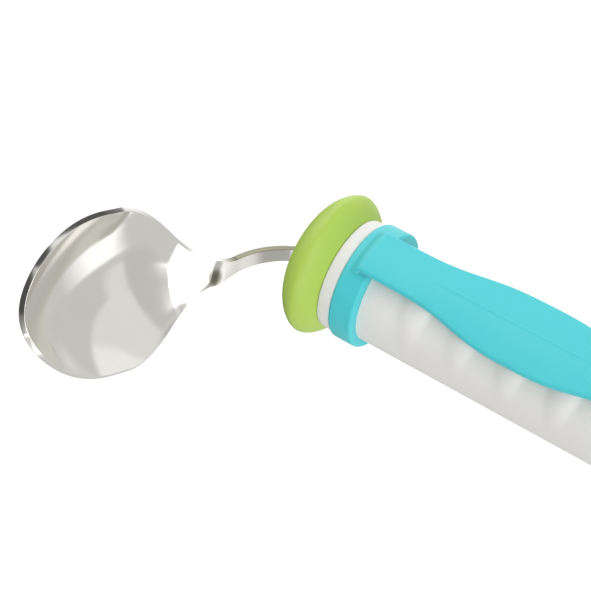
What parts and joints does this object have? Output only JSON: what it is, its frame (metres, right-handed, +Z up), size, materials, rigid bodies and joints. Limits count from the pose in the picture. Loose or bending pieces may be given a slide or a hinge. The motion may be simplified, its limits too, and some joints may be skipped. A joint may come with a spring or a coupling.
{
  "type": "bendable spoon",
  "caption": "Spoon with a round steel bowl on a flat neck that bends by hand, set in a thick ridged handle with a stretchy hand strap and a soft collar.",
  "frame": {"origin": "centre of the flat butt face at the rear end of the handle", "axes": "+X out of the butt along the handle's axis, so the bowl is towards -X; +Z up, the strap's side; the neck bends towards -Y"},
  "size_m": [0.1659, 0.0909, 0.0609],
  "materials": {
    "steel": "polished stainless steel",
    "green_silicone": "satin moulded silicone",
    "white_plastic": "satin moulded plastic",
    "blue_silicone": "satin moulded silicone"
  },
  "bodies": {
    "handle": {"handle_shell": "white_plastic", "tang_core": "white_plastic", "tang": "steel", "collar": "green_silicone", "strap_front_ring": "blue_silicone", "strap_rear_ring": "blue_silicone", "end_cap": "green_silicone"},
    "neck": {"neck_strip": "steel"},
    "bowl": {"spoon_bowl": "steel"},
    "strap": {"strap_band": "blue_silicone"}
  },
  "joints": [
    {"name": "neck_root_bend", "type": "hinge", "parent": "handle", "child": "neck", "pos_m": [-0.12574, -0.00111, 0.00031], "axis": [0, 0.2689, 0.9632], "range_deg": [-70, 10], "deforming": ["neck_strip"]},
    {"name": "neck_tip_bend", "type": "hinge", "parent": "neck", "child": "bowl", "pos_m": [-0.137, -0.00927, 0.00259], "axis": [0, 0.2689, 0.9632], "range_deg": [-70, 10], "deforming": ["neck_strip"]},
    {"name": "strap_lift", "type": "slide", "parent": "handle", "child": "strap", "axis": [0, 0, 1], "range_m": [0, 0.012], "stiffness_N_per_m": 300, "deforming": ["strap_band"]}
  ]
}
